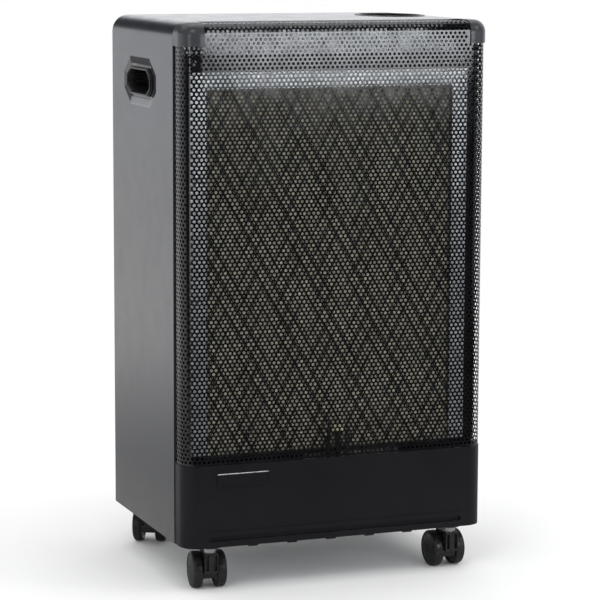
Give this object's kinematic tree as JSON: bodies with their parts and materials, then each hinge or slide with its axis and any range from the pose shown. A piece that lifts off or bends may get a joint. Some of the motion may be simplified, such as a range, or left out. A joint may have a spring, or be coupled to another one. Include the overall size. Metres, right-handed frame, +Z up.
{
  "type": "cabinet gas heater",
  "caption": "Upright cabinet gas heater on swivel castors, with a perforated front over a catalytic burner, a control bay on top and a pull-off rear cover.",
  "frame": {"origin": "on the floor, under the middle of the heater's bounding box", "axes": "+Z up, the perforated front faces -Y, +X is the heater's right-hand side seen from the front"},
  "size_m": [0.425, 0.374, 0.7308],
  "materials": {
    "satin_anthracite_steel": "satin powder coat on sheet steel",
    "black_perforated_steel": "semi-gloss black heat-proof paint on perforated sheet",
    "black_panel": "satin near-black paint on pressed sheet",
    "black_plastic": "moulded black plastic, fine grain",
    "dark_cap_plastic": "semi-gloss dark grey moulded plastic",
    "nameplate_plastic": "blank black nameplate",
    "knob_plastic": "glossy black moulded knob",
    "button_plastic": "red push button",
    "castor_plastic": "black nylon",
    "galvanised_steel": "galvanised sheet",
    "aluminised_steel": "bright aluminised sheet",
    "zinc_plated_steel": "zinc plated",
    "yellow_zinc": "yellow passivated zinc",
    "dark_wire": "heat-darkened steel wire",
    "catalyst_fibre": "beige-grey ceramic fibre pad",
    "brass": "turned brass",
    "aluminium_tube": "bent aluminium tube",
    "die_cast_alloy": "die-cast alloy",
    "ceramic": "white ceramic"
  },
  "bodies": {
    "cabinet": {"outer_shell": "satin_anthracite_steel", "front_grille": "black_perforated_steel", "corner_cap_left": "dark_cap_plastic", "corner_cap_right": "dark_cap_plastic", "lower_front_panel": "black_panel", "nameplate": "nameplate_plastic", "handle_cup_left": "black_plastic", "handle_cup_right": "black_plastic", "control_bezel": "black_plastic", "piezo_igniter": "black_plastic", "valve_bracket": "galvanised_steel", "gas_valve": "die_cast_alloy", "hose_nozzle": "brass", "burner_frame": "aluminised_steel", "wire_guard": "dark_wire", "catalytic_pad": "catalyst_fibre", "gas_diffuser": "galvanised_steel", "gas_tray": "galvanised_steel", "front_bulkhead": "black_panel", "heat_shield": "galvanised_steel", "gas_pipe": "aluminium_tube", "pilot_pipe": "aluminium_tube", "injector": "brass", "pilot_shelf": "zinc_plated_steel", "pilot_burner": "yellow_zinc", "spark_electrode": "ceramic", "thermocouple": "brass", "base_tray": "galvanised_steel", "cover_catches": "zinc_plated_steel", "castor_sockets": "castor_plastic", "bulkhead_screws": "zinc_plated_steel", "rear_screws": "zinc_plated_steel"},
    "spindle": {"valve_spindle": "zinc_plated_steel"},
    "knob": {"control_knob": "knob_plastic"},
    "ignition_button": {"piezo_button": "button_plastic"},
    "rear_cover": {"rear_cover": "satin_anthracite_steel", "cover_pins": "zinc_plated_steel", "cover_studs": "zinc_plated_steel"},
    "castor_front_left": {"castor_front_left_hood": "castor_plastic", "castor_front_left_stem": "zinc_plated_steel", "castor_front_left_axle": "zinc_plated_steel"},
    "castor_front_left_wheel_a": {"castor_front_left_wheel_a": "castor_plastic"},
    "castor_front_left_wheel_b": {"castor_front_left_wheel_b": "castor_plastic"},
    "castor_front_right": {"castor_front_right_hood": "castor_plastic", "castor_front_right_stem": "zinc_plated_steel", "castor_front_right_axle": "zinc_plated_steel"},
    "castor_front_right_wheel_a": {"castor_front_right_wheel_a": "castor_plastic"},
    "castor_front_right_wheel_b": {"castor_front_right_wheel_b": "castor_plastic"},
    "castor_rear_left": {"castor_rear_left_hood": "castor_plastic", "castor_rear_left_stem": "zinc_plated_steel", "castor_rear_left_axle": "zinc_plated_steel"},
    "castor_rear_left_wheel_a": {"castor_rear_left_wheel_a": "castor_plastic"},
    "castor_rear_left_wheel_b": {"castor_rear_left_wheel_b": "castor_plastic"},
    "castor_rear_right": {"castor_rear_right_hood": "castor_plastic", "castor_rear_right_stem": "zinc_plated_steel", "castor_rear_right_axle": "zinc_plated_steel"},
    "castor_rear_right_wheel_a": {"castor_rear_right_wheel_a": "castor_plastic"},
    "castor_rear_right_wheel_b": {"castor_rear_right_wheel_b": "castor_plastic"}
  },
  "joints": [
    {"name": "knob_push", "type": "slide", "parent": "cabinet", "child": "spindle", "axis": [0, 0, -1], "range_m": [0, 0.003], "stiffness_N_per_m": 1500, "springref_m": -0.002},
    {"name": "knob_turn", "type": "hinge", "parent": "spindle", "child": "knob", "pos_m": [0.148, -0.014, 0.72], "axis": [0, 0, 1], "range_deg": [0, 210]},
    {"name": "ignition_push", "type": "slide", "parent": "cabinet", "child": "ignition_button", "axis": [0, 0, -1], "range_m": [0, 0.004], "stiffness_N_per_m": 1200, "springref_m": -0.002},
    {"name": "rear_cover_pull", "type": "slide", "parent": "cabinet", "child": "rear_cover", "axis": [0, 1, 0], "range_m": [0, 0.28]},
    {"name": "castor_front_left_swivel", "type": "hinge", "parent": "cabinet", "child": "castor_front_left", "pos_m": [-0.169, -0.166, 0.054], "axis": [0, 0, 1], "continuous": true},
    {"name": "castor_front_left_wheel_a_roll", "type": "hinge", "parent": "castor_front_left", "child": "castor_front_left_wheel_a", "pos_m": [-0.16712, -0.1481, 0.024], "axis": [0.9945, -0.1045, 0], "continuous": true},
    {"name": "castor_front_left_wheel_b_roll", "type": "hinge", "parent": "castor_front_left", "child": "castor_front_left_wheel_b", "pos_m": [-0.16712, -0.1481, 0.024], "axis": [0.9945, -0.1045, 0], "continuous": true},
    {"name": "castor_front_right_swivel", "type": "hinge", "parent": "cabinet", "child": "castor_front_right", "pos_m": [0.169, -0.166, 0.054], "axis": [0, 0, 1], "continuous": true},
    {"name": "castor_front_right_wheel_a_roll", "type": "hinge", "parent": "castor_front_right", "child": "castor_front_right_wheel_a", "pos_m": [0.16837, -0.14801, 0.024], "axis": [0.9994, 0.0349, 0], "continuous": true},
    {"name": "castor_front_right_wheel_b_roll", "type": "hinge", "parent": "castor_front_right", "child": "castor_front_right_wheel_b", "pos_m": [0.16837, -0.14801, 0.024], "axis": [0.9994, 0.0349, 0], "continuous": true},
    {"name": "castor_rear_left_swivel", "type": "hinge", "parent": "cabinet", "child": "castor_rear_left", "pos_m": [-0.169, 0.097, 0.054], "axis": [0, 0, 1], "continuous": true},
    {"name": "castor_rear_left_wheel_a_roll", "type": "hinge", "parent": "castor_rear_left", "child": "castor_rear_left_wheel_a", "pos_m": [-0.16055, 0.11289, 0.024], "axis": [0.8829, -0.4695, 0], "continuous": true},
    {"name": "castor_rear_left_wheel_b_roll", "type": "hinge", "parent": "castor_rear_left", "child": "castor_rear_left_wheel_b", "pos_m": [-0.16055, 0.11289, 0.024], "axis": [0.8829, -0.4695, 0], "continuous": true},
    {"name": "castor_rear_right_swivel", "type": "hinge", "parent": "cabinet", "child": "castor_rear_right", "pos_m": [0.169, 0.097, 0.054], "axis": [0, 0, 1], "continuous": true},
    {"name": "castor_rear_right_wheel_a_roll", "type": "hinge", "parent": "castor_rear_right", "child": "castor_rear_right_wheel_a", "pos_m": [0.16526, 0.11461, 0.024], "axis": [0.9781, 0.2079, 0], "continuous": true},
    {"name": "castor_rear_right_wheel_b_roll", "type": "hinge", "parent": "castor_rear_right", "child": "castor_rear_right_wheel_b", "pos_m": [0.16526, 0.11461, 0.024], "axis": [0.9781, 0.2079, 0], "continuous": true}
  ]
}
